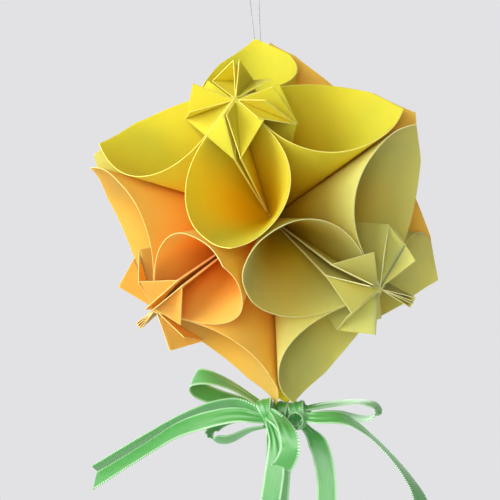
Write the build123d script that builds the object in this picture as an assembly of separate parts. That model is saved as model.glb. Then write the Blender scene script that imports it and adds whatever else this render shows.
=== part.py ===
from build123d import *
import os
from math import asin, atan2, cos, degrees, radians, sin, sqrt, tan

os.makedirs("parts", exist_ok=True)

# A paper flower ball: six four-petal flowers on the faces of a cube that hangs by one corner.
# Row frame in mm: the origin is the inside top of the hanging loop, +Z up, -Y towards the viewer.

# Driving dimensions.
square = 90.0          # side of the square sheet that each petal is folded from
paper = 0.25           # thickness of one layer as modelled
glue = 0.1             # half the gap between two petals that are glued wall to wall
ball_drop = 92.0       # from the inside top of the loop down to the ball's centre

mouth = 1.0            # half width of a flower's face, in units of the height along its axis
tip_round = 0.27       # the same units: radius of the mouth's outline at the petal's tip
corner_soft = square / 8   # radius that softens the sheet's corner at the petal's tip
point_cut = 4.0        # the folded points stop this far from the ball's centre
tip_steps, side_steps = 4, 9   # flat facets in the eighth turn at the tip and the quarter turn at the side

fold = 22.5            # degrees between the flower's axis and the petal's diagonal fold
flap_split = 3.5       # degrees that each of the two standing flaps keeps from the petal's mid plane
flap_start = 9.0       # the flaps' lower end, from the ball's centre
cap_height = 0.1 * square  # a cap's width, from its crease to its corner
lift = 25.0            # degrees that an outer wing stands above square to its flap
lift_play = 6.0        # handmade variation of that lift
steep = 90.0           # degrees of the inner wing, which goes on in the flap's plane
lift_closed, lift_open = 62.0, 16.0   # wings of the pinched and of the flattened star points

ribbon_width, ribbon_thick = 6.0, 0.3
ribbon_step = 20.0     # degrees of turn in one flat panel of a ribbon
thread = 0.6           # diameter
loop_radius = 2.1      # of the hanging loop, to the middle of the thread

# Directions.
yellow = Vector(0, -sqrt(2 / 3), sqrt(1 / 3))
orange = Vector(-sqrt(1 / 2), -sqrt(1 / 6), -sqrt(1 / 3))
green = Vector(sqrt(1 / 2), -sqrt(1 / 6), -sqrt(1 / 3))
axes = (yellow, orange, green)
centre = Location((0, 0, -ball_drop))


def solid_of(faces):
    body = Solid(Shell(faces))
    if body.volume < 0:
        body = Solid(Shell([-f for f in faces]))
    assert body.is_valid and body.volume > 0
    return body


def polygon(*points):
    return Face(Wire.make_polygon([Vector(*p) for p in points], close=True))


def plate(points, thick):
    """A flat layer of paper on both sides of the polygon."""
    return extrude(polygon(*points), amount=thick / 2, both=True)


# One petal.
def half_mouth():
    """Half the mouth's outline one unit up the flower's axis: from the tip, round the side, to the axis."""
    tip, side_round = mouth - tip_round, mouth - tip_round
    pts = []
    for i in range(tip_steps + 1):
        a = radians(45 * (1 - i / tip_steps))
        pts.append(Vector(tip + tip_round * cos(a), tip + tip_round * sin(a), 1))
    for i in range(1, side_steps + 1):
        a = radians(-90 * i / side_steps)
        pts.append(Vector(mouth - side_round + side_round * cos(a), side_round + side_round * sin(a), 1))
    pts.append(Vector(0, 0, 1))
    return [p.normalized() for p in pts]


def paper_angles(rays):
    """Angle on the flat sheet from the tip's diagonal to each ray, which comes to 67.5 at the axis."""
    angles = [0.0]
    for a, b in zip(rays, rays[1:]):
        angles.append(angles[-1] + a.get_angle(b))
    return [a * (90 - fold) / angles[-1] for a in angles]


def edge_distance(angle):
    """From the folded point to the sheet's edge, along a ray that far round from the tip."""
    a = radians(angle)
    mid = square / sqrt(2) - corner_soft * sqrt(2)
    if a < atan2(corner_soft * sin(radians(45)), mid + corner_soft * cos(radians(45))):
        return mid * cos(a) + sqrt(corner_soft**2 - (mid * sin(a)) ** 2)
    return square / 2 / cos(a - radians(45))


def wall():
    """The petal's cup: a cone round the mouth's outline, closed on the flower's axis and cut to the sheet's edge."""
    half = half_mouth()
    reach = [edge_distance(a) for a in paper_angles(half)]
    rays = half[::-1] + [Vector(r.Y, r.X, r.Z) for r in half[1:-1]]
    reach = reach[::-1] + reach[1:-1]
    inward = Vector(1, 1, 1 + sqrt(2))        # moves every side of the cup inward by one
    out0, in0 = inward * glue, inward * (glue + paper)
    ot = [out0 + r * d for r, d in zip(rays, reach)]
    ob = [out0 + r * point_cut for r in rays]
    it = [in0 + r * (d - paper * inward.dot(r)) for r, d in zip(rays, reach)]
    ib = [in0 + r * (point_cut - paper * inward.dot(r)) for r in rays]
    faces = []
    for i in range(len(rays)):
        j = (i + 1) % len(rays)
        faces += [polygon(ob[i], ob[j], ot[j], ot[i]), polygon(ib[j], ib[i], it[i], it[j]),
                  polygon(ot[i], ot[j], it[j]), polygon(ot[i], it[j], it[i]),
                  polygon(ob[j], ob[i], ib[i]), polygon(ob[j], ib[i], ib[j])]
    return solid_of(faces)


hub = square / 2 / cos(radians(fold))         # the sheet's edge where it meets the flower's axis
star = (square / 2 * sin(radians(fold)), square / 2 * cos(radians(fold)))   # the flap's outer corner
# The crowded hub: a cap starts where the two doubled flaps have parted, this share of its crease out.
cap_start = paper / sin(radians(flap_split)) / star[0]


def flap(side, wing_lift):
    """A doubled flap on the axis, and the cap on its top edge, creased into a level and a steep wing."""
    a = radians(45 + side * flap_split)
    root = glue + 0.8 * paper

    def at(r, h):
        return Vector(root + r * cos(a), root + r * sin(a), h)

    k, m = at(0, hub - paper), at(*star)
    layer = plate([at(0, flap_start), k, m, at(flap_start * sin(radians(fold)), flap_start * cos(radians(fold)))],
                  2 * paper)
    along = (m - k).normalized()
    out = Vector(-sin(a), cos(a), 0) * side
    up = Vector(0, 0, 1) - along * along.Z
    up = up.normalized()
    pieces = [layer]
    for angle in (wing_lift, steep):
        way = out * cos(radians(angle)) + up * sin(radians(angle))
        n = (k + m) / 2 + way * cap_height
        sunk = way * -0.6 * paper              # the crease lies inside the flap's edge
        pieces.append(plate([k + (m - k) * cap_start + sunk, m + along * -0.3 * paper + sunk,
                             m + along * -0.3 * paper, n, k + (n - k) * cap_start], paper))
    return pieces


cup = wall()


def petal(number, closed, opened):
    body = cup
    for side in (-1, 1):
        play = sin(2.1 * (2 * number + side))
        up = lift_closed if closed else lift_open if opened else lift + lift_play * play
        for piece in flap(side, up):
            body = body + piece
    solids = body.solids()
    assert len(solids) == 1, len(solids)
    return solids[0]


parts = {}
names = {(0, 1): "front_yellow", (1, 1): "left_orange", (2, 1): "right_green",
         (0, -1): "rear_yellow", (1, -1): "rear_orange", (2, -1): "rear_green"}
corner_names = {(1, 1, 1): "front", (1, 1, -1): "left", (1, -1, 1): "right", (1, -1, -1): "top",
                (-1, 1, 1): "bottom", (-1, 1, -1): "rear_left", (-1, -1, 1): "rear_right", (-1, -1, -1): "back"}
number = 0
for (i, sign), flower in names.items():
    n = axes[i] * sign
    j, k = (i + 1) % 3, (i + 2) % 3
    for sj in (1, -1):
        for sk in (1, -1):
            e1, e2 = axes[j] * sj, axes[k] * sk
            if n.cross(e1).dot(e2) < 0:
                e1, e2 = e2, e1
            signs = [0, 0, 0]
            signs[i], signs[j], signs[k] = sign, sj, sk
            far = sj == -1 and sk == -1
            body = petal(number, closed=far and i > 0, opened=far and i == 0)
            place = Plane(origin=(0, 0, 0), x_dir=e1, z_dir=n).location
            parts[f"{flower}_petal_{corner_names[tuple(signs)]}"] = centre * place * body
            number += 1


# Thread and ribbons.
def rounded_route(points, name):
    """Straight runs joined by the largest tangent arcs that they take; prints the arcs' radii."""
    pts = [Vector(*p) for p in points]
    radii = []
    for a, b, c in zip(pts, pts[1:], pts[2:]):
        turn = (b - a).get_angle(c - b)
        radii.append(0.45 * min((b - a).length, (c - b).length) / tan(radians(turn / 2)))
    print(name, "length", round(sum((b - a).length for a, b in zip(pts, pts[1:])), 1),
          "radii", [round(r, 1) for r in radii])
    return FilletPolyline(*pts, radius=radii)


def ribbon(route, name):
    """A flat ribbon: each route point has its place, the direction of the ribbon's width, and its gather."""
    path = rounded_route([p[:3] for p in route], name)
    stations = []                              # along the path: point, tangent, place in the route
    edges = path.edges()
    for index, e in enumerate(edges):
        bend = index % 2 == 1                  # runs and arcs take turns
        steps = max(1, round(degrees(e.length / e.radius) / ribbon_step)) if bend else 1
        for s in range(steps if bend else 1):
            t = s / steps
            stations.append((e @ t, e % t, (index + t) / 2 if bend else index / 2 + 0.001))
    last = edges[-1]
    stations.append((last @ 1, last % 1, len(route) - 1.0))
    rails = []
    for p, tangent, place in stations:
        u = min(max(place, 0), len(route) - 1.0)
        a = min(int(u), len(route) - 2)
        f = u - a
        w = Vector(*route[a][3:6]).normalized() * (1 - f) + Vector(*route[a + 1][3:6]).normalized() * f
        w = (w - tangent * w.dot(tangent)).normalized()
        gather = route[a][6] * (1 - f) + route[a + 1][6] * f
        normal = tangent.cross(w).normalized()
        half, skin = w * ribbon_width / 2 * gather, normal * ribbon_thick / 2
        rails.append([p + half + skin, p - half + skin, p - half - skin, p + half - skin])
    faces = []
    for a, b in zip(rails, rails[1:]):
        for i in range(4):
            j = (i + 1) % 4
            faces += [polygon(a[i], a[j], b[j]), polygon(a[i], b[j], b[i])]
    faces += [polygon(*rails[0]), polygon(*rails[-1])]
    return solid_of(faces)


def tube(points, name, size):
    path = rounded_route(points, name)
    start = path.edges()[0]
    profile = Plane(origin=start @ 0, z_dir=start % 0) * Circle(size / 2)
    return sweep(profile, path=path)


# Routes from the ball's centre: x, y, z, the ribbon's width direction x, y, z, and how far it is gathered (1 is flat).
ribbon_routes = {
    "left_upper_loop": [(-6.0, -1.5, -60.5, -0.2, -0.9, -0.3, 0.5), (-10.0, -4.5, -56.6, -0.15, -0.95, -0.2, 0.75),
                        (-15.0, -6.0, -52.8, -0.15, -0.93, -0.3, 0.95), (-21.2, -6.5, -49.9, -0.2, -0.8, -0.55, 1),
                        (-27.2, -4.6, -48.9, -0.33, -0.4, -0.85, 1), (-29.6, -1.0, -50.4, -0.35, -0.3, -0.88, 1),
                        (-28.5, 2.6, -53.6, -0.4, -0.4, -0.8, 1), (-23.6, 4.2, -56.0, -0.3, -0.6, -0.75, 1),
                        (-16.0, 3.6, -58.0, -0.2, -0.8, -0.6, 0.9), (-8.0, 1.0, -60.6, -0.1, -0.8, -0.6, 0.5)],
    "left_upper_tail": [(-6.6, -1.6, -62.0, 0.0, 0.1, -1.0, 0.45), (-11.4, -2.2, -60.4, 0.0, 0.1, -1.0, 0.8),
                        (-17.2, -2.6, -59.8, 0.05, 0.1, -1.0, 1), (-24.0, -2.8, -60.9, 0.2, 0.1, -0.98, 1),
                        (-32.2, -3.0, -63.6, 0.39, 0.1, -0.92, 1), (-41.6, -3.2, -67.9, 0.42, 0.1, -0.9, 1),
                        (-52.0, -3.2, -72.9, 0.46, 0.1, -0.88, 1), (-62.4, -3.0, -78.0, 0.49, 0.1, -0.87, 1)],
    "left_lower_tail": [(-6.6, -3.2, -63.6, 0.0, 0.15, -1.0, 0.45), (-11.6, -5.0, -62.6, 0.0, 0.2, -1.0, 0.8),
                        (-18.0, -5.6, -62.6, 0.05, 0.2, -0.98, 1), (-25.8, -5.8, -63.9, 0.2, 0.4, -0.9, 1),
                        (-33.9, -5.8, -66.0, 0.3, 0.6, -0.75, 1), (-41.8, -5.6, -70.2, 0.4, 0.6, -0.7, 1),
                        (-51.1, -5.6, -74.9, 0.45, 0.4, -0.8, 1), (-61.9, -5.6, -80.4, 0.49, 0.3, -0.8, 1)],
    "left_lower_loop": [(-6.6, -0.6, -66.0, 0.1, 0.95, -0.25, 0.45), (-12.0, 2.4, -66.6, 0.1, 0.95, -0.25, 0.8),
                        (-16.6, 3.4, -68.6, 0.1, 0.93, -0.3, 1), (-21.0, 3.4, -70.1, 0.1, 0.85, -0.45, 1),
                        (-24.6, 2.6, -69.0, 0.3, 0.75, -0.6, 1), (-25.2, 1.8, -66.4, 0.2, 0.85, -0.5, 1),
                        (-21.6, 2.2, -64.2, 0.1, 0.9, -0.4, 1), (-15.0, 2.4, -62.9, 0.1, 0.9, -0.4, 0.8),
                        (-8.0, 0.6, -63.4, 0.1, 0.9, -0.4, 0.45)],
    "centre_loop": [(-3.6, -4.2, -61.4, 0.5, 0.8, 0.3, 0.4), (0.2, -6.6, -63.4, 0.6, 0.7, 0.2, 0.7),
                    (2.6, -8.4, -67.3, 0.95, 0.2, 0.1, 0.9), (3.2, -8.6, -71.8, 1.0, 0.0, -0.15, 1),
                    (0.8, -7.6, -76.4, 0.9, 0.2, -0.45, 1), (-1.6, -5.2, -77.8, 0.85, 0.2, -0.45, 1),
                    (-2.6, -3.8, -74.6, 0.9, 0.1, -0.3, 1), (-2.4, -4.0, -69.2, 0.8, 0.3, -0.1, 0.8),
                    (-3.8, -3.4, -64.8, 0.8, 0.4, 0.0, 0.4)],
    "front_tail": [(-4.4, -5.0, -64.4, 0.8, 0.5, 0.3, 0.4), (-3.6, -8.4, -67.6, 0.95, 0.2, 0.1, 0.8),
                   (-3.0, -10.2, -73.2, 0.99, 0.1, -0.1, 1), (-4.2, -10.6, -80.2, 0.98, 0.1, -0.18, 1),
                   (-6.0, -10.6, -87.5, 0.98, 0.1, -0.18, 1), (-7.2, -10.4, -93.3, 0.98, 0.1, -0.15, 1),
                   (-8.2, -10.4, -99.4, 0.98, 0.1, -0.15, 1)],
    "front_lower_tail": [(-4.4, -1.6, -65.6, 0.98, 0.2, 0.0, 0.45), (-3.4, -2.0, -70.4, 0.98, 0.2, 0.0, 0.8),
                         (-2.4, -2.4, -76.4, 0.98, 0.2, -0.1, 1), (-3.4, -2.8, -83.0, 0.98, 0.2, -0.15, 1),
                         (-4.5, -2.8, -89.8, 0.98, 0.2, -0.1, 1), (-4.8, -2.6, -95.8, 0.98, 0.2, -0.05, 1),
                         (-4.5, -2.6, -101.6, 0.98, 0.2, 0.0, 1)],
    "right_tail": [(4.2, 0.6, -65.6, 0.4, 0.8, 0.4, 0.45), (6.9, 0.2, -68.4, 0.3, 0.9, 0.3, 0.8),
                   (9.4, 0.0, -72.2, 0.85, 0.4, 0.25, 1), (10.7, 0.0, -76.9, 0.95, 0.2, 0.1, 1),
                   (11.2, 0.2, -83.2, 1.0, 0.1, 0.0, 1), (10.8, 0.3, -89.5, 1.0, 0.1, -0.05, 1),
                   (9.8, 0.2, -96.0, 0.99, 0.1, -0.1, 1), (8.4, 0.0, -102.2, 0.99, 0.1, -0.15, 1)],
    "right_loop": [(5.0, 3.0, -61.8, 0.0, 0.9, 0.35, 0.5), (10.4, 4.0, -60.9, 0.05, 0.93, 0.35, 0.9),
                   (17.3, 4.6, -60.5, 0.0, 0.95, 0.25, 1), (23.0, 4.6, -60.4, 0.0, 0.98, 0.15, 1),
                   (27.2, 4.0, -61.5, 0.1, 0.95, 0.3, 1), (28.7, 3.0, -63.8, 0.35, 0.9, 0.1, 1),
                   (26.4, 2.6, -65.9, 0.1, 0.97, 0.2, 1), (22.2, 2.8, -65.6, 0.0, 0.97, 0.25, 1),
                   (16.8, 3.2, -63.9, 0.0, 0.95, 0.3, 1), (10.8, 3.2, -63.4, 0.0, 0.95, 0.3, 0.9),
                   (5.4, 2.8, -63.6, 0.0, 0.95, 0.3, 0.5)],
    "right_long_tail": [(5.4, -0.6, -63.9, 0.05, 0.6, 0.75, 0.5), (11.0, -3.2, -64.4, 0.05, 0.65, 0.7, 0.8),
                        (16.6, -3.2, -64.4, 0.0, 0.75, 0.65, 0.9), (21.2, -3.0, -66.4, 0.15, 0.95, 0.2, 1),
                        (26.1, -2.2, -70.6, 0.05, 1.0, 0.05, 1), (30.5, -1.4, -75.6, 0.05, 1.0, 0.05, 1),
                        (34.2, -0.8, -80.7, 0.1, 0.98, 0.1, 1), (37.3, -0.4, -85.9, 0.25, 0.95, 0.15, 1),
                        (39.5, -0.2, -91.5, 0.55, 0.8, 0.2, 1), (40.8, 0.0, -97.4, 0.7, 0.7, 0.2, 1)],
}
thread_route = [(-0.4, 0, 51), (-0.95, 0, 59), (-1.5, 0, 74), (-2.0, 0, 86),
                (-loop_radius, 0, ball_drop + thread / 2), (loop_radius, 0, ball_drop + thread / 2),
                (2.0, 0, 86), (1.5, 0, 74), (0.95, 0, 59), (0.4, 0, 51)]


def knot(size, place, turn):
    body = Box(*size)
    body = chamfer(body.edges(), 0.22 * min(size))
    return Location(place) * Rotation(0, turn, 0) * body


bead = Location((0, 0, 50.2)) * Sphere(1.45)
front_knot = knot((7.0, 6.0, 8.0), (-4.95, -2.5, -63.6), -12)
back_knot = knot((8.8, 6.6, 8.2), (3.5, 1.9, -63.6), 4)

thread_tube = tube(thread_route, "hanging thread", thread)
area = 3.1416 * (thread / 2) ** 2
print("hanging thread volume over section", round(thread_tube.volume / area, 1))
parts["hanging_thread"] = centre * (thread_tube - bead)
parts["thread_bead"] = centre * bead
for name, route in ribbon_routes.items():
    strip = ribbon(route, name)
    print(name, "volume over section", round(strip.volume / (ribbon_width * ribbon_thick), 1))
    for lump in (front_knot, back_knot):
        strip = strip - lump
    parts[f"ribbon_{name}"] = centre * strip
parts["ribbon_front_knot"] = centre * front_knot
parts["ribbon_back_knot"] = centre * back_knot

for name, body in parts.items():
    solids = body.solids()
    assert len(solids) == 1, (name, len(solids))
    solids[0].label = name
    export_step(solids[0], f"parts/{name}.step")
print(len(parts), "pieces")
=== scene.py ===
import math

import bmesh
import bpy
from mathutils import Matrix, Vector


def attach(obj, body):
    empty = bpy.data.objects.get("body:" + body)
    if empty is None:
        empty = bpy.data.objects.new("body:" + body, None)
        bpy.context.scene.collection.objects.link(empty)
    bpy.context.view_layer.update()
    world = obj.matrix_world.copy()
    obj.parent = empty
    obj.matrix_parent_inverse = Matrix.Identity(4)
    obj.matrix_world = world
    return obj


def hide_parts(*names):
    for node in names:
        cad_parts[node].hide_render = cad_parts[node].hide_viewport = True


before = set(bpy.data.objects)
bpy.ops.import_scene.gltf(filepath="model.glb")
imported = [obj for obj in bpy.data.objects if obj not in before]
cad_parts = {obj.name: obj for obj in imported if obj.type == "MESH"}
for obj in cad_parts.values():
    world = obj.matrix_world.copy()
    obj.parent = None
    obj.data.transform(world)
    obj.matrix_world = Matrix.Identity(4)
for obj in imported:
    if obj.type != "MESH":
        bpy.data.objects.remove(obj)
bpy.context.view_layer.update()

# The ball hangs at eye level by its thread. The camera stands a little to the right of it and
# below its middle, close enough for the cups at the sides to turn away, and looks slightly up.
ball = Vector((0, 0, -0.092))
eye = ball + Vector((0.05529, -0.28510, -0.05066))
aim = ball + Vector((-0.00757, -0.00026, -0.00988))
backward = (eye - aim).normalized()
rightward = Vector((0.97178, 0.22472, -0.07166))
rightward = (rightward - backward * rightward.dot(backward)).normalized()
camera = bpy.data.objects.new("camera", bpy.data.cameras.new("camera"))
camera.data.lens = 65.6
camera.data.sensor_width = 36
camera.data.clip_start = 0.01
camera.matrix_world = Matrix((rightward, backward.cross(rightward), backward)).transposed().to_4x4()
camera.matrix_world.translation = eye
bpy.context.scene.collection.objects.link(camera)
bpy.context.scene.camera = camera
bpy.context.scene.view_settings.view_transform = "Standard"


# The studio: a pale floor below the ribbon's ends, weak light from all round, one soft window
# light from the left, one from the front into the cups and one behind. Nothing here is of the object.
def screen(red, green, blue):
    """A colour as seen on a screen, from 0 to 255, as the shader's linear one."""
    return tuple(c / 255 / 12.92 if c < 10.3 else ((c / 255 + 0.055) / 1.055) ** 2.4
                 for c in (red, green, blue)) + (1.0,)


class Wire:
    """A socket of a material's nodes; sums with it add the nodes that they need."""

    def __init__(self, tree, socket=None):
        self.tree, self.socket = tree, socket

    def make(self, kind, settings=None, out=0, **sockets):
        """Adds a node: its settings come first, then its sockets by name, or by number as n0, n1."""
        node = self.tree.nodes.new(kind)
        for key, value in (settings or {}).items():
            setattr(node, key, value)
        for key, value in sockets.items():
            by_number = key[0] == "n" and key[1:].isdigit()
            target = node.inputs[int(key[1:]) if by_number else key.replace("_", " ")]
            if isinstance(value, Wire):
                self.tree.links.new(value.socket, target)
            else:
                target.default_value = value
        return Wire(self.tree, node.outputs[out])

    def math(self, operation, *terms):
        sockets = {f"n{i}": term for i, term in enumerate(terms)}
        return self.make("ShaderNodeMath", {"operation": operation}, **sockets)

    def __add__(self, other):
        return self.math("ADD", self, other)

    def __radd__(self, other):
        return self.math("ADD", other, self)

    def __sub__(self, other):
        return self.math("SUBTRACT", self, other)

    def __rsub__(self, other):
        return self.math("SUBTRACT", other, self)

    def __mul__(self, other):
        return self.math("MULTIPLY", self, other)

    def __rmul__(self, other):
        return self.math("MULTIPLY", other, self)

    def ramp(self, low, high):
        """Rises smoothly from 0 at low to 1 at high."""
        return self.make("ShaderNodeMapRange", {"interpolation_type": "SMOOTHSTEP"}, Value=self,
                         From_Min=low, From_Max=high)

    def tint(self, low, high):
        """The colour low where this is 0 and high where it is 1."""
        return self.make("ShaderNodeMix", {"data_type": "RGBA"}, out=2, n0=self, n6=low, n7=high)

    def feed(self, node, socket):
        self.tree.links.new(self.socket, node.inputs[socket])


def new_finish(name, roughness):
    """A new material with its shader node, and a Wire to start its expressions from."""
    material = bpy.data.materials.new(name)
    material.use_nodes = True
    shader = material.node_tree.nodes["Principled BSDF"]
    shader.inputs["Roughness"].default_value = roughness
    return material, shader, Wire(material.node_tree)


def add_piece(name, bm, *finishes):
    """Turns the bmesh into a new object at the origin with these materials."""
    mesh = bpy.data.meshes.new(name)
    bm.to_mesh(mesh)
    bm.free()
    for finish in finishes:
        mesh.materials.append(finish)
    piece = bpy.data.objects.new(name, mesh)
    bpy.context.scene.collection.objects.link(piece)
    return piece


world = bpy.data.worlds.new("studio")
bpy.context.scene.world = world
world.use_nodes = True
sky = Wire(world.node_tree)
rays = world.node_tree.nodes.new("ShaderNodeLightPath")
by_eye, in_gloss, in_glass = (Wire(world.node_tree, rays.outputs[f"Is {kind} Ray"])
                              for kind in ("Camera", "Glossy", "Transmission"))
seen = by_eye + in_gloss + in_glass
room_light = sky.make("ShaderNodeBackground", Color=(1, 1, 1, 1), Strength=0.12)
backdrop = sky.make("ShaderNodeBackground", Color=screen(226, 226, 228), Strength=1.0)
sky.make("ShaderNodeMixShader", n0=seen, n1=room_light, n2=backdrop).feed(
    world.node_tree.nodes["World Output"], "Surface")

bm = bmesh.new()
bmesh.ops.create_grid(bm, x_segments=1, y_segments=1, size=0.8, matrix=Matrix.Translation((0, 0, -0.3)))
floor_paint, shader, wire = new_finish("floor paint", 0.9)
shader.inputs["Base Color"].default_value = screen(224, 224, 226)
floor = add_piece("floor", bm, floor_paint)


def soft_light(name, place, size, power):
    data = bpy.data.lights.new(name, "AREA")
    data.size, data.energy = size, power
    light = bpy.data.objects.new(name, data)
    light.location = place
    light.rotation_euler = (Vector(place) - ball).to_track_quat("Z", "Y").to_euler()
    bpy.context.scene.collection.objects.link(light)


soft_light("window light", (-0.62, -0.78, 0.15), 0.9, 12.0)
soft_light("front light", (0.12, -0.95, -0.12), 0.4, 3.4)
soft_light("rear light", (-0.35, 0.90, 0.35), 0.9, 7.0)


# The hanging thread is one length of two-ply cotton that comes up out of the top corner, makes a
# loop round the hook and goes back down beside itself. Its knotted end is glued between the cups.
def smooth_line(name, route, steps, gap):
    """Points at least gap apart on the smooth curve that a route from the ball's centre steers."""
    data = bpy.data.curves.new(name, "CURVE")
    data.dimensions = "3D"
    data.resolution_u = steps
    line = data.splines.new("NURBS")
    line.points.add(len(route) - 1)
    for spot, p in zip(line.points, route):
        spot.co = (*(ball + Vector(p[:3])), 1)
    line.order_u = 3
    line.use_endpoint_u = True
    guide = bpy.data.objects.new(name, data)
    mesh = bpy.data.meshes.new_from_object(guide)
    curve = [v.co.copy() for v in mesh.vertices]
    bpy.data.objects.remove(guide)
    bpy.data.curves.remove(data)
    bpy.data.meshes.remove(mesh)
    kept = [0]
    for i, p in enumerate(curve):
        if (p - curve[kept[-1]]).length >= gap:
            kept.append(i)
    kept[-1] = len(curve) - 1
    return [curve[i] for i in kept], [i / (len(curve) - 1) for i in kept]


def directions(line):
    """The direction of travel at each point of a line."""
    return [(b - a).normalized() for a, b in zip(line[:1] + line[:-1], line[1:] + line[-1:])]


def draw_out(bm, rows, ring):
    """Extrudes the first row from each row of points to the next; a ring's last point joins its first."""
    verts = [bm.verts.new(p) for p in rows[0]]
    edges = [bm.edges.new(pair) for pair in zip(verts, verts[1:] + verts[:1] if ring else verts[1:])]
    lines = [verts]
    for row in rows[1:]:
        made = bmesh.ops.extrude_edge_only(bm, edges=edges)["geom"]
        fresh = {g for g in made if isinstance(g, bmesh.types.BMVert)}
        edges = [g for g in made if isinstance(g, bmesh.types.BMEdge) and set(g.verts) <= fresh]
        verts = [next(w for w in (e.other_vert(v) for e in v.link_edges) if w in fresh) for v in verts]
        for v, p in zip(verts, row):
            v.co = p
        lines.append(verts)
    return lines


def settle(piece, crease):
    """Makes the modifiers' result the piece's own mesh, smooth but for folds sharper than crease."""
    done = bpy.data.meshes.new_from_object(piece.evaluated_get(bpy.context.evaluated_depsgraph_get()))
    piece.modifiers.clear()
    piece.data = done
    done.polygons.foreach_set("use_smooth", [True] * len(done.polygons))
    done.set_sharp_from_angle(angle=math.radians(crease))


thread_size = 0.0006
ply_size = 0.00034
ply_turn = 0.0018
thread_route = [(-0.0004, 0, 0.051), (-0.00095, 0, 0.059), (-0.0015, 0, 0.074), (-0.002, 0, 0.086),
                (-0.0021, 0, 0.0923), (0.0021, 0, 0.0923), (0.002, 0, 0.086), (0.0015, 0, 0.074),
                (0.00095, 0, 0.059), (0.0004, 0, 0.051)]
cotton, shader, wire = new_finish("cotton thread", 0.85)
spot = wire.make("ShaderNodeTexCoord", out=3)
fluff = wire.make("ShaderNodeTexNoise", Vector=spot, Scale=3500.0, Detail=2.0)
fluff.ramp(0.3, 0.7).tint(screen(178, 178, 182), screen(222, 222, 224)).feed(shader, "Base Color")
wire.make("ShaderNodeBump", Height=fluff, Strength=0.3, Distance=0.0001).feed(shader, "Normal")

line, _ = smooth_line("thread line", thread_route, 96, 0.0002)
bm = bmesh.new()
for start in (0, math.pi):
    rows = []
    travelled = 0.0
    for i, (p, way) in enumerate(zip(line, directions(line))):
        travelled += (p - line[i - 1]).length if i else 0
        across = Vector((0, 1, 0))
        beside = way.cross(across)
        turn = start + math.tau * travelled / ply_turn
        middle = p + (across * math.cos(turn) + beside * math.sin(turn)) * (thread_size - ply_size) / 2
        rows.append([middle + (across * math.cos(a) + beside * math.sin(a)) * ply_size / 2
                     for a in (math.tau * k / 7 for k in range(7))])
    draw_out(bm, rows, ring=True)
bmesh.ops.holes_fill(bm, edges=bm.edges[:], sides=7)
bmesh.ops.recalc_face_normals(bm, faces=bm.faces[:])
thread = add_piece("cotton_thread_loop", bm, cotton)
settle(thread, 180)
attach(thread, "root")
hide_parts("hanging_thread")

# The thread's end is tied in one tight overhand knot and set in glue in the hollow of the top corner.
knot_place = ball + Vector((0, 0, 0.0502))
knot_size = 0.00036
rows = []
for i in range(73):
    t = math.tau * i / 72
    p = knot_place + knot_size * Vector((math.sin(t) + 2 * math.sin(2 * t), -math.sin(3 * t) * 1.4,
                                         math.cos(t) - 2 * math.cos(2 * t)))
    rows.append(p)
bm = bmesh.new()
ways = directions(rows)
ways[0] = ways[-1] = (rows[1] - rows[-2]).normalized()
draw_out(bm, [[p + (way.cross(Vector((0, 1, 0))).normalized() * math.cos(a)
                    + way.cross(way.cross(Vector((0, 1, 0)))).normalized() * math.sin(a)) * thread_size * 0.55
               for a in (math.tau * k / 8 for k in range(8))] for p, way in zip(rows, ways)], ring=True)
bmesh.ops.remove_doubles(bm, verts=bm.verts[:], dist=0.00001)
bmesh.ops.recalc_face_normals(bm, faces=bm.faces[:])
bead = add_piece("thread_end_knot", bm, cotton)
settle(bead, 180)
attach(bead, "root")
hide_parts("thread_bead")

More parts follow.
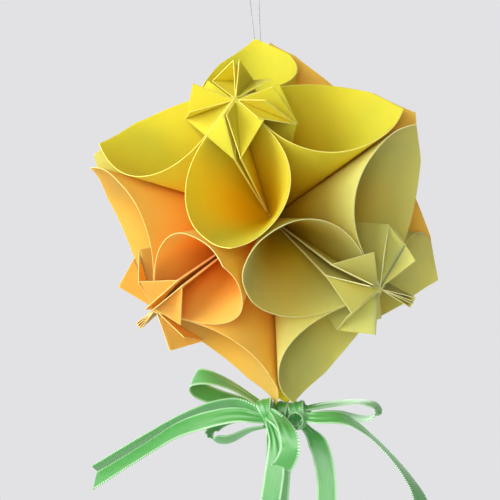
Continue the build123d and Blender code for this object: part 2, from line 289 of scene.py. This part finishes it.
# The bow under the ball is 6 mm satin ribbon with a woven edge: loops and tails of two bows, all
# pinched in two knots. Each strand is one strip, pleated where the knot gathers it.
ribbon_width = 0.006
ribbon_thick = 0.00025
columns = 16
pleat_waves = 2.5
pleat_depth = 0.0006
ribbon_curl = 0.0002
tooth = 0.0007
rib = 0.00032
ribbon_routes = {
    "left_upper_loop": [
        (-0.0060, -0.0015, -0.0605, -0.2, -0.9, -0.3, 0.5),
        (-0.0100, -0.0045, -0.0566, -0.15, -0.95, -0.2, 0.75),
        (-0.0150, -0.0060, -0.0528, -0.15, -0.93, -0.3, 0.95),
        (-0.0212, -0.0065, -0.0499, -0.2, -0.8, -0.55, 1),
        (-0.0272, -0.0046, -0.0489, -0.33, -0.4, -0.85, 1),
        (-0.0296, -0.0010, -0.0504, -0.35, -0.3, -0.88, 1), (-0.0285, 0.0026, -0.0536, -0.4, -0.4, -0.8, 1),
        (-0.0236, 0.0042, -0.0560, -0.3, -0.6, -0.75, 1), (-0.0160, 0.0036, -0.0580, -0.2, -0.8, -0.6, 0.9),
        (-0.0080, 0.0010, -0.0606, -0.1, -0.8, -0.6, 0.5)],
    "left_upper_tail": [
        (-0.0066, -0.0016, -0.0620, 0, 0.5, -0.85, 0.45), (-0.0114, -0.0022, -0.0604, -0.1, 0.7, -0.7, 0.8),
        (-0.0172, -0.0026, -0.0598, -0.2, 0.85, -0.5, 1), (-0.0240, -0.0028, -0.0609, -0.1, 0.9, -0.45, 1),
        (-0.0322, -0.0030, -0.0636, 0, 0.92, -0.38, 1), (-0.0416, -0.0032, -0.0679, 0, 0.93, -0.38, 1),
        (-0.0520, -0.0032, -0.0729, 0, 0.93, -0.38, 1), (-0.0624, -0.0030, -0.0780, 0, 0.93, -0.4, 1)],
    "left_lower_tail": [
        (-0.0066, -0.0032, -0.0636, 0, -0.15, -1, 0.45), (-0.0116, -0.0050, -0.0626, 0.05, -0.4, -0.9, 0.75),
        (-0.0180, -0.0056, -0.0626, 0.05, -0.45, -0.88, 0.9),
        (-0.0258, -0.0058, -0.0639, 0.2, -0.5, -0.84, 1), (-0.0339, -0.0058, -0.0660, 0.3, -0.65, -0.7, 1),
        (-0.0418, -0.0056, -0.0702, 0.37, -0.74, -0.57, 1),
        (-0.0511, -0.0056, -0.0749, 0.37, -0.74, -0.57, 1),
        (-0.0619, -0.0056, -0.0804, 0.4, -0.65, -0.65, 1)],
    "left_lower_loop": [
        (-0.0066, -0.0006, -0.0660, 0.1, 0.95, -0.25, 0.45),
        (-0.0120, 0.0024, -0.0666, 0.1, 0.95, -0.25, 0.8), (-0.0166, 0.0034, -0.0686, 0.1, 0.93, -0.3, 1),
        (-0.0210, 0.0034, -0.0701, 0.1, 0.85, -0.45, 1), (-0.0246, 0.0026, -0.0690, 0.3, 0.75, -0.6, 1),
        (-0.0252, 0.0018, -0.0664, 0.2, 0.85, -0.5, 1), (-0.0216, 0.0022, -0.0642, 0.1, 0.9, -0.4, 1),
        (-0.0150, 0.0024, -0.0629, 0.1, 0.9, -0.4, 0.8), (-0.0080, 0.0006, -0.0634, 0.1, 0.9, -0.4, 0.45)],
    "centre_loop": [
        (-0.0036, -0.0042, -0.0614, 0.5, 0.8, 0.3, 0.4), (0.0002, -0.0066, -0.0634, 0.6, 0.7, 0.2, 0.7),
        (0.0026, -0.0084, -0.0673, 0.95, 0.2, 0.1, 0.9), (0.0032, -0.0086, -0.0718, 1, 0, -0.15, 1),
        (0.0008, -0.0076, -0.0764, 0.9, 0.2, -0.45, 1), (-0.0016, -0.0052, -0.0778, 0.85, 0.2, -0.45, 1),
        (-0.0026, -0.0038, -0.0746, 0.9, 0.1, -0.3, 1), (-0.0024, -0.0040, -0.0692, 0.8, 0.3, -0.1, 0.8),
        (-0.0038, -0.0034, -0.0648, 0.8, 0.4, 0, 0.4)],
    "front_tail": [
        (-0.0044, -0.0050, -0.0644, 0.8, 0.5, 0.3, 0.35), (-0.0036, -0.0084, -0.0676, 0.95, 0.2, 0.1, 0.5),
        (-0.0030, -0.0102, -0.0732, 0.99, 0.1, -0.1, 0.85), (-0.0042, -0.0106, -0.0802, 0.98, 0.1, -0.18, 1),
        (-0.0060, -0.0106, -0.0875, 0.98, 0.1, -0.18, 1), (-0.0072, -0.0104, -0.0933, 0.98, 0.1, -0.15, 1),
        (-0.0082, -0.0104, -0.0994, 0.98, 0.1, -0.15, 1)],
    "front_lower_tail": [
        (-0.0044, -0.0016, -0.0656, 0.98, 0.2, 0, 0.45), (-0.0034, -0.0020, -0.0704, 0.98, 0.2, 0, 0.8),
        (-0.0024, -0.0024, -0.0764, 0.98, 0.2, -0.1, 1), (-0.0034, -0.0028, -0.0830, 0.98, 0.2, -0.15, 1),
        (-0.0045, -0.0028, -0.0898, 0.98, 0.2, -0.1, 1), (-0.0048, -0.0026, -0.0958, 0.98, 0.2, -0.05, 1),
        (-0.0045, -0.0026, -0.1016, 0.98, 0.2, 0, 1)],
    "right_tail": [
        (0.0042, 0.0006, -0.0656, 0.4, 0.8, 0.4, 0.45), (0.0069, 0.0002, -0.0684, 0.3, 0.9, 0.3, 0.8),
        (0.0094, 0.0000, -0.0722, 0.85, 0.4, 0.25, 1), (0.0107, 0.0000, -0.0769, 0.95, 0.2, 0.1, 1),
        (0.0112, 0.0002, -0.0832, 1, 0.1, 0, 1), (0.0108, 0.0003, -0.0895, 1, 0.1, -0.05, 1),
        (0.0098, 0.0002, -0.0960, 0.99, 0.1, -0.1, 1), (0.0084, 0.0000, -0.1022, 0.99, 0.1, -0.15, 1)],
    "right_loop": [
        (0.0050, 0.0030, -0.0618, 0, 0.9, 0.35, 0.5), (0.0104, 0.0040, -0.0609, 0.05, 0.93, 0.35, 0.9),
        (0.0173, 0.0046, -0.0605, 0, 0.95, 0.25, 1), (0.0230, 0.0046, -0.0604, 0, 0.98, 0.15, 1),
        (0.0272, 0.0040, -0.0615, 0.1, 0.95, 0.3, 1), (0.0287, 0.0030, -0.0638, 0.35, 0.9, 0.1, 1),
        (0.0264, 0.0026, -0.0659, 0.1, 0.97, 0.2, 1), (0.0222, 0.0028, -0.0656, 0, 0.97, 0.25, 1),
        (0.0168, 0.0032, -0.0639, 0, 0.95, 0.3, 1), (0.0108, 0.0032, -0.0634, 0, 0.95, 0.3, 0.9),
        (0.0054, 0.0028, -0.0636, 0, 0.95, 0.3, 0.5)],
    "right_long_tail": [
        (0.0054, -0.0006, -0.0639, 0.05, 0.6, 0.75, 0.5), (0.0110, -0.0032, -0.0644, 0.05, 0.65, 0.7, 0.8),
        (0.0166, -0.0032, -0.0644, 0, 0.75, 0.65, 0.9), (0.0212, -0.0030, -0.0664, 0.15, 0.95, 0.2, 1),
        (0.0261, -0.0022, -0.0706, 0.05, 1, 0.05, 1), (0.0305, -0.0014, -0.0756, 0.05, 1, 0.05, 1),
        (0.0342, -0.0008, -0.0807, 0.1, 0.98, 0.1, 1), (0.0373, -0.0004, -0.0859, 0.25, 0.95, 0.15, 1),
        (0.0395, -0.0002, -0.0915, 0.55, 0.8, 0.2, 1), (0.0408, 0.0000, -0.0974, 0.7, 0.7, 0.2, 1)]
}
# Each strand's length, where its far end goes, the slant of its cut end, as travel per half width,
# and how far the cloth has slipped off its route once it is clear of the knot.
strands = {
    "left_upper_loop": (0.056, "object", 0, (0, 0, 0)),
    "left_upper_tail": (0.060, "bare", 0.0006, (-0.0008, -0.0004, 0.0019)),
    "left_lower_tail": (0.060, "bare", 0.0012, (-0.0003, -0.0002, 0.0008)),
    "left_lower_loop": (0.038, "object", 0, (0, 0, 0)),
    "centre_loop": (0.0365, "object", 0, (-0.0002, -0.0026, -0.0006)),
    "front_tail": (0.037, "bare", 0.0006, (0.0011, 0.0012, 0)),
    "front_lower_tail": (0.0365, "bare", -0.0005, (0.0006, 0, 0)),
    "right_tail": (0.038, "bare", 0.0008, (0, 0, 0)),
    "right_loop": (0.048, "object", 0, (0, 0, 0)),
    "right_long_tail": (0.054, "bare", 0.0008, (0, 0, 0)),
}

satin, shader, wire = new_finish("satin ribbon", 0.36)
across = wire.make("ShaderNodeAttribute", {"attribute_name": "across"}, out=2)
along = wire.make("ShaderNodeAttribute", {"attribute_name": "along"}, out=2)
edge = wire.math("ABSOLUTE", across).ramp(0.78, 0.84)
stitches = wire.math("SINE", along * (math.tau / tooth)) * 0.5 + 0.5
ribs = wire.math("SINE", along * (math.tau / rib)) * 0.5 + 0.5
warp = wire.make("ShaderNodeCombineXYZ", X=across * 26.0, Y=along * 220.0)
streaks = wire.make("ShaderNodeTexNoise", Vector=warp, Scale=1.0, Detail=3.0)
body = streaks.ramp(0.25, 0.75).tint(screen(66, 152, 64), screen(90, 174, 84))
selvedge = stitches.ramp(0.3, 0.7).tint(screen(66, 156, 64), screen(216, 252, 208))
edge.tint(body, selvedge).feed(shader, "Base Color")
relief = (1 - edge) * (ribs * 0.4 + streaks * 0.6) + edge * stitches * 2.0
wire.make("ShaderNodeBump", Height=relief, Strength=0.35, Distance=0.00006).feed(shader, "Normal")
shader.inputs["Specular IOR Level"].default_value = 0.9
shader.inputs["Sheen Weight"].default_value = 1.0
shader.inputs["Sheen Roughness"].default_value = 0.45
shader.inputs["Sheen Tint"].default_value = screen(200, 255, 200)


def at_station(route, share):
    """The width direction and gather of a route, that share of the way along its smooth curve."""
    last = len(route) - 1
    spans = [0.0] + [i - 0.5 for i in range(1, last)] + [last - 1.0]
    t = share * (last - 1)
    i = max(k for k in range(last) if spans[k] <= t)
    f = (t - spans[i]) / (spans[i + 1] - spans[i])
    a, b = route[i], route[i + 1]
    lean = Vector(a[3:6]).normalized() * (1 - f) + Vector(b[3:6]).normalized() * f
    return lean, a[6] * (1 - f) + b[6] * f


def strand(route, slant, slip):
    """A strip of ribbon along a route, with its place on the cloth kept as across and along."""
    line, shares = smooth_line("strand line", route, 48, tooth / 2)
    ways = directions(line)
    rows, marks = [], []
    travelled = 0.0
    left = sum((b - a).length for a, b in zip(line, line[1:]))
    for i, (p, way, share) in enumerate(zip(line, ways, shares)):
        step = (p - line[i - 1]).length if i else 0.0
        travelled += step
        left -= step
        lean, gather = at_station(route, share)
        lean = (lean - way * lean.dot(way)).normalized()
        face = way.cross(lean)
        cut = slant * max(0.0, 1 - left / 0.005)
        loose = Vector(slip) * min(1.0, travelled / 0.008) ** 2 * (3 - 2 * min(1.0, travelled / 0.008))
        row = []
        for c in range(columns + 1):
            x = 2 * c / columns - 1
            pleat = pleat_depth * (1 - gather) * math.cos(pleat_waves * math.pi * x)
            toothed = 1.0 if abs(x) < 1 or i % 2 else 1.02
            row.append(p + lean * (x * toothed * gather * ribbon_width / 2) + way * (cut * x)
                       + face * (pleat + ribbon_curl * (1 - x * x)) + loose)
        rows.append(row)
        marks.append(travelled)
    bm = bmesh.new()
    across_layer = bm.verts.layers.float.new("across")
    along_layer = bm.verts.layers.float.new("along")
    for verts, travelled in zip(draw_out(bm, rows, ring=False), marks):
        for c, v in enumerate(verts):
            v[across_layer] = 2 * c / columns - 1
            v[along_layer] = travelled
    bmesh.ops.recalc_face_normals(bm, faces=bm.faces[:])
    return bm, line


for name, (length, far_end, slant, slip) in strands.items():
    bm, line = strand(ribbon_routes[name], slant, slip)
    piece = add_piece("satin_" + name, bm, satin)
    cloth = piece.modifiers.new("cloth", "SOLIDIFY")
    cloth.thickness = ribbon_thick
    cloth.offset = 0
    settle(piece, 60)
    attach(piece, "root")
    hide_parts("ribbon_" + name)


# The two knots are turns of the same ribbon pulled tight round the gathered strands. The front
# one shows a wrap that narrows downwards and a pleated fold that sweeps over to the right. The
# rear one, in its shade, is two crossed turns with the open end of a small rolled loop in front.
def wrap(bm, place, turn, high, deep, top_width, low_width, ruck):
    """A turn of ribbon round the bundle, wider at its top than at its bottom, with rucks along it."""
    rows = []
    steps = 48
    for i in range(steps + 1):
        a = math.tau * (0.6 + i / steps)
        width = low_width + (top_width - low_width) * (0.5 + 0.5 * math.cos(a))
        row = []
        for c in range(columns + 1):
            x = 2 * c / columns - 1
            swell = 1 - 0.1 * x * x + ruck * math.cos(2.5 * math.pi * x + 0.8 * math.sin(2 * a))
            row.append(Vector((x * width, -math.sin(a) * deep * swell, math.cos(a) * high * swell)) / 2)
        rows.append(row)
    lines = draw_out(bm, rows, ring=False)
    verts = [v for line in lines for v in line]
    bmesh.ops.transform(bm, matrix=Matrix.Translation(ball + Vector(place)) @ turn, verts=verts)
    return lines


def bundle(bm, place, size):
    """The crushed middle of a knot: a lump with uneven pleats that run through it."""
    made = bmesh.ops.create_icosphere(bm, subdivisions=4, radius=0.5)
    for v in made["verts"]:
        a = math.atan2(v.co.y, v.co.z)
        v.co *= 1 + 0.07 * math.sin(7 * a + 3 * v.co.x) + 0.05 * math.sin(13 * a + 1.3)
        v.co = Vector((v.co.x * size[0], v.co.y * size[1], v.co.z * size[2])) + ball + Vector(place)


def knot(name, node, wraps, folds, lump):
    bm = bmesh.new()
    across_layer = bm.verts.layers.float.new("across")
    along_layer = bm.verts.layers.float.new("along")
    for given in wraps:
        for i, verts in enumerate(wrap(bm, *given)):
            for c, v in enumerate(verts):
                v[across_layer] = 2 * c / columns - 1
                v[along_layer] = i * 0.0004
    wound = bpy.data.meshes.new("wound")
    for route in folds:
        part, _ = strand(route, 0, (0, 0, 0))
        part.to_mesh(wound)
        part.free()
        bm.from_mesh(wound)
    bpy.data.meshes.remove(wound)
    piece = add_piece(name, bm, satin)
    cloth = piece.modifiers.new("cloth", "SOLIDIFY")
    cloth.thickness = ribbon_thick
    cloth.offset = 0
    settle(piece, 60)
    bm = bmesh.new()
    bm.from_mesh(piece.data)
    bundle(bm, *lump)
    bm.to_mesh(piece.data)
    bm.free()
    piece.data.polygons.foreach_set("use_smooth", [True] * len(piece.data.polygons))
    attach(piece, "root")
    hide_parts(node)


def turned(x, y, z):
    return (Matrix.Rotation(math.radians(z), 4, "Z") @ Matrix.Rotation(math.radians(y), 4, "Y")
            @ Matrix.Rotation(math.radians(x), 4, "X"))


swoop = [(-0.0050, -0.0044, -0.0618, 0.35, 0.2, 0.9, 0.6), (-0.0030, -0.0062, -0.0627, 0.5, 0.1, 0.85, 0.7),
         (-0.0004, -0.0070, -0.0650, 0.8, 0.1, 0.55, 0.7), (0.0010, -0.0076, -0.0684, 0.95, 0.1, 0.2, 0.6),
         (0.0010, -0.0080, -0.0704, 0.95, 0.2, 0, 0.45), (0.0002, -0.0078, -0.0722, 0.9, 0.3, 0, 0.3)]
knot("front_bow_knot", "ribbon_front_knot",
     [((-0.0057, -0.0026, -0.0611), turned(0, -9, 4), 0.0072, 0.0062, 0.0054, 0.0014, 0.02)],
     [swoop], ((-0.0050, -0.0022, -0.0630), (0.0054, 0.0040, 0.0058)))
knot("rear_bow_knot", "ribbon_back_knot",
     [((-0.0021, 0.0022, -0.0622), turned(0, 6, 0), 0.0068, 0.0052, 0.0052, 0.0040, 0.04),
      ((0.0034, 0.0026, -0.0624), turned(0, -8, 0), 0.0066, 0.0054, 0.0052, 0.0040, 0.05),
      ((0.0038, -0.0016, -0.0649), turned(0, 0, 80), 0.0056, 0.0056, 0.0042, 0.0040, 0.01)],
     [], ((0.0018, 0.0030, -0.0633), (0.0112, 0.0046, 0.0076)))

# Each of the 24 petals is one 90 mm note sheet of solid-dyed paper, folded to its centre and
# rolled until its two straight edges meet and are glued: a cone-shaped cup. Its paper is matt.
# Its cut edges are painted lighter, a painted highlight, and deep inside its colour is painted
# darker and richer, painted shade and bounced light where the walls colour each other's light.
square = 0.090
paper = 0.00025
glue = 0.0001
tip_round = 0.27
tip_reach = 0.059
tip_slope = math.radians(57)
tip_spread = math.radians(28)
point_cut = 0.0012
fold = math.radians(22.5)


def half_mouth():
    """Rays from the folded point to half of the cup's mouth, from its tip to the flower's axis."""
    bend = 1 - tip_round
    flat = []
    for i in range(9):
        a = math.radians(45 * (1 - i / 8))
        flat.append((bend + tip_round * math.cos(a), bend + tip_round * math.sin(a)))
    for i in range(1, 25):
        a = math.radians(-90 * i / 24)
        flat.append((tip_round + bend * math.cos(a), bend + bend * math.sin(a)))
    flat += [(tip_round * k / 4, 0) for k in (3, 2, 1, 0)]
    return [Vector((x, y, 1)).normalized() for x, y in flat]


def edge_distance(a):
    """From the folded point to the sheet's edge, a radians round from the tip's blunted corner."""
    blunted = tip_reach * math.sin(tip_slope) / math.sin(tip_slope + a)
    return min(square / 2 / math.cos(a - math.pi / 4), blunted)


def mouth_edge():
    """The sheet's edge once the cup is rolled, all round from the flower's axis."""
    half = half_mouth()
    turns = [0.0]
    for a, b in zip(half, half[1:]):
        turns.append(turns[-1] + a.angle(b))
    edge = [r * edge_distance(t * (math.pi / 2 - fold) / turns[-1]) for r, t in zip(half, turns)]
    return edge[::-1] + [Vector((p.y, p.x, p.z)) for p in edge[1:-1]]


def cup(bm, curl):
    """The cup's wall, drawn in from the sheet's edge to its folded point; its tip curls inwards."""
    ring = [bm.verts.new(p) for p in mouth_edge()]
    edges = [bm.edges.new(pair) for pair in zip(ring, ring[1:] + ring[:1])]
    made = bmesh.ops.extrude_edge_only(bm, edges=edges)["geom"]
    inner = [g for g in made if isinstance(g, bmesh.types.BMVert)]
    rulings = [e for v in inner for e in v.link_edges if e.other_vert(v) in ring]
    for v in inner:
        v.co = v.co.normalized() * point_cut
    bmesh.ops.subdivide_edges(bm, edges=rulings, cuts=6, use_grid_fill=True)
    bmesh.ops.edgeloop_fill(bm, edges=[g for g in made if isinstance(g, bmesh.types.BMEdge) and g.is_valid
                                       and g.verts[0] in inner and g.verts[1] in inner])
    for v in bm.verts:
        off_tip = abs(math.atan2(v.co.y, v.co.x) - math.pi / 4) / tip_spread
        if off_tip < 1:
            upward = (Vector((0, 0, 1)) - v.co.normalized() * v.co.normalized().z).normalized()
            v.co += upward * curl * (1 - off_tip) ** 2 * (1 + 2 * off_tip) * (v.co.length / tip_reach) ** 3
    bmesh.ops.translate(bm, verts=bm.verts[:], vec=Vector((1, 1, 1 + math.sqrt(2))) * (glue + paper / 2))


# Inside each cup stand two doubled flaps of the same sheet, side by side on the flower's axis,
# and on each flap's top a squashed corner makes a creased cap. The caps of the four petals make
# the flower's star. How far each flap leans and its cap opens is the folder's hand, so it varies.
flap_split = 3.5
hub = square / 2 / math.cos(fold)
star = (square / 2 * math.sin(fold), square / 2 * math.cos(fold))
cap_width = 0.1 * square
cap_start = 0.05
cap_bow = 0.0005
# For the first and second flap of a petal: lean, outer wing, inner wing, in degrees, and whether
# the cap's corner is tucked in across it. The petals that aren't named take even play.
hand_set = {
    "front_yellow_petal_front": ((2, -8, 85, 1), (1, 21, 98, 0)),
    "front_yellow_petal_left": ((-10, 32, 81, 0), (-15, -16, 38, 0)),
    "front_yellow_petal_right": ((-17, 32, 66, 0), (-21, 23, 84, 0)),
    "front_yellow_petal_top": ((-5, 17, 93, 0), (-5, 24, 85, 1)),
    "left_orange_petal_front": ((8, 18, 90, 0), (8, 28, 89, 0)),
    "left_orange_petal_bottom": ((-13, 20, 112, 0), (-14, 22, 71, 0)),
    "left_orange_petal_left": ((-5, 32, 90, 0), (-17, 20, 56, 0)),
    "left_orange_petal_rear_left": ((9, 84, 94, 1), (4, 84, 94, 1)),
    "right_green_petal_front": ((-9, 10, 83, 0), (-4, 39, 109, 0)),
    "right_green_petal_right": ((-10, 40, 85, 0), (-7, 32, 122, 0)),
    "right_green_petal_bottom": ((0, 20, 97, 0), (-2, 20, 89, 0)),
    "right_green_petal_rear_right": ((-5, 80, 93, 1), (-11, 80, 93, 1)),
}
# Some tips have come away from their neighbours and curl in; the others curl about a millimetre.
tip_curls = {"front_yellow_petal_left": 0.0036, "front_yellow_petal_top": 0.0002,
             "front_yellow_petal_front": 0.0004, "rear_orange_petal_top": 0.002,
             "right_green_petal_rear_right": 0.0045}


def sheet_part(bm, corners, bow=0.0):
    """A flat part of the sheet between its corners, or a triangle that bows a little at its middle."""
    face = bm.faces.new([bm.verts.new(c) for c in corners])
    if not bow:
        return
    face.normal_update()
    normal = face.normal.copy()
    a, b, c = corners
    whole = (b - a).cross(c - a).length
    made = bmesh.ops.subdivide_edges(bm, edges=face.edges[:], cuts=5, use_grid_fill=True)["geom_inner"]
    for v in [g for g in made if isinstance(g, bmesh.types.BMVert)]:
        p = v.co
        shares = [(q - p).cross(r - p).length / whole for q, r in ((a, b), (b, c), (c, a))]
        v.co = p + normal * bow * 27 * shares[0] * shares[1] * shares[2]


def flap(bm, turn, lean, outer, inner, tucked):
    """One flap with its two layers, and its cap's two wings; turn is -1 or 1 for its side."""
    a = math.radians(45 + turn * flap_split + lean)
    root = glue + paper
    side = Vector((-math.sin(a), math.cos(a), 0)) * turn

    def at(reach, height):
        return Vector((root + reach * math.cos(a), root + reach * math.sin(a), height))

    start = 0.006
    top, tip = at(0, hub - paper), at(*star)
    foot = at(0, start), at(start * math.sin(fold), start * math.cos(fold))
    for layer in (-1, 1):
        gap = side * (layer * paper * 0.55)
        sheet_part(bm, [foot[0] + gap, foot[1] + gap, tip + gap, top + gap])
    crease = (tip - top).normalized()
    up = (Vector((0, 0, 1)) - crease * crease.z).normalized()
    first = top + (tip - top) * cap_start
    ends = []
    for angle in (math.radians(outer), math.radians(inner)):
        end = (top + tip) / 2 + (side * math.cos(angle) + up * math.sin(angle)) * cap_width
        start_of_edge = top + (end - top) * cap_start
        sheet_part(bm, [first, tip, end, start_of_edge])
        ends.append(end)
    if tucked:
        sheet_part(bm, [ends[0], tip, ends[1]], cap_bow)


def paper_finish(name, open_colour, deep_shade_colour):
    material, shader, wire = new_finish(name, 0.74)
    spot = wire.make("ShaderNodeTexCoord", out=3)
    depth = wire.make("ShaderNodeVectorMath", {"operation": "DISTANCE"}, out=1, n0=spot, n1=tuple(ball))
    cloud = wire.make("ShaderNodeTexNoise", Vector=spot, Scale=70.0, Detail=3.0)
    fibre = wire.make("ShaderNodeTexNoise", Vector=spot, Scale=2600.0, Detail=3.0)
    # Painted shade: towards the ball's centre, deep in the cups, the colour goes to the darker, richer deep
    # colour, standing in for shade and the walls' bounced light; the clouds and fibres are the paper's own
    # tone.
    rise = depth.ramp(0.012, 0.052) * 0.9 + (cloud - 0.5) * 0.16 + (fibre - 0.5) * 0.08
    rise.tint(deep_shade_colour, open_colour).feed(shader, "Base Color")
    relief = fibre + cloud * 0.6
    wire.make("ShaderNodeBump", Height=relief, Strength=0.12, Distance=0.0002).feed(shader, "Normal")
    shader.inputs["Specular IOR Level"].default_value = 0.12
    shader.inputs["Subsurface Weight"].default_value = 0.8
    shader.inputs["Subsurface Radius"].default_value = (1.0, 0.7, 0.25)
    shader.inputs["Subsurface Scale"].default_value = 0.0015
    return material


# Painted highlight: the cut edge, the layer's rim, gets a lighter colour than the faces, for the bright lines
# where light catches the edges; its fibres vary in tone.
def cut_edge_painted_highlight(name, colour):
    material, shader, wire = new_finish(name, 0.85)
    spot = wire.make("ShaderNodeTexCoord", out=3)
    fibre = wire.make("ShaderNodeTexNoise", Vector=spot, Scale=1800.0, Detail=2.0)
    duller = tuple(0.86 * c for c in colour[:3]) + (1.0,)
    fibre.ramp(0.3, 0.7).tint(duller, colour).feed(shader, "Base Color")
    return material


# Per paper: its faces' open colour and their painted deep shade, then its lighter cut edge, a painted
# highlight.
papers = {
    "yellow": (paper_finish("yellow paper", screen(228, 213, 64), screen(230, 182, 2)),
               cut_edge_painted_highlight("yellow cut edge highlight", screen(248, 238, 120))),
    "orange": (paper_finish("orange paper", screen(252, 190, 92), screen(255, 138, 2)),
               cut_edge_painted_highlight("orange cut edge highlight", screen(255, 224, 140))),
    "green": (paper_finish("green paper", screen(222, 215, 122), screen(206, 166, 14)),
              cut_edge_painted_highlight("green cut edge highlight", screen(238, 234, 160))),
}
axes = (Vector((0, -math.sqrt(2 / 3), math.sqrt(1 / 3))),
        Vector((-math.sqrt(1 / 2), -math.sqrt(1 / 6), -math.sqrt(1 / 3))),
        Vector((math.sqrt(1 / 2), -math.sqrt(1 / 6), -math.sqrt(1 / 3))))
flowers = {(0, 1): "front_yellow", (1, 1): "left_orange", (2, 1): "right_green",
           (0, -1): "rear_yellow", (1, -1): "rear_orange", (2, -1): "rear_green"}
corner_names = {(1, 1, 1): "front", (1, 1, -1): "left", (1, -1, 1): "right", (1, -1, -1): "top",
                (-1, 1, 1): "bottom", (-1, 1, -1): "rear_left", (-1, -1, 1): "rear_right",
                (-1, -1, -1): "back"}
number = 0
for (i, sign), flower in flowers.items():
    out = axes[i] * sign
    j, k = (i + 1) % 3, (i + 2) % 3
    for sj in (1, -1):
        for sk in (1, -1):
            first, second = axes[j] * sj, axes[k] * sk
            if out.cross(first).dot(second) < 0:
                first, second = second, first
            signs = [0, 0, 0]
            signs[i], signs[j], signs[k] = sign, sj, sk
            node = f"{flower}_petal_{corner_names[tuple(signs)]}"
            play = [(3 * math.sin(5.3 * (2 * number + turn)), 25 + 6 * math.sin(2.1 * (2 * number + turn)),
                     90 + 5 * math.sin(3.3 * (2 * number + turn)), 0) for turn in (-1, 1)]
            if sj == sk == -1:
                play = [(p[0], 62 if i else 16, p[2], 0) for p in play]
            bm = bmesh.new()
            cup(bm, tip_curls.get(node, 0.0009 + 0.0005 * math.sin(4.7 * number)))
            for turn, set_by_hand in zip((-1, 1), hand_set.get(node, play)):
                flap(bm, turn, *set_by_hand)
            bmesh.ops.recalc_face_normals(bm, faces=bm.faces[:])
            place = Matrix.Translation(ball) @ Matrix((first, second, out)).transposed().to_4x4()
            bmesh.ops.transform(bm, matrix=place, verts=bm.verts[:])
            petal = add_piece("paper_" + node, bm, *papers[flower.split("_")[1]])
            layer = petal.modifiers.new("layer of paper", "SOLIDIFY")
            layer.thickness = paper
            layer.offset = 0
            # The rim takes the second material, the cut edge's painted highlight.
            layer.material_offset_rim = 1
            settle(petal, 28)
            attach(petal, "root")
            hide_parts(node)
            number += 1
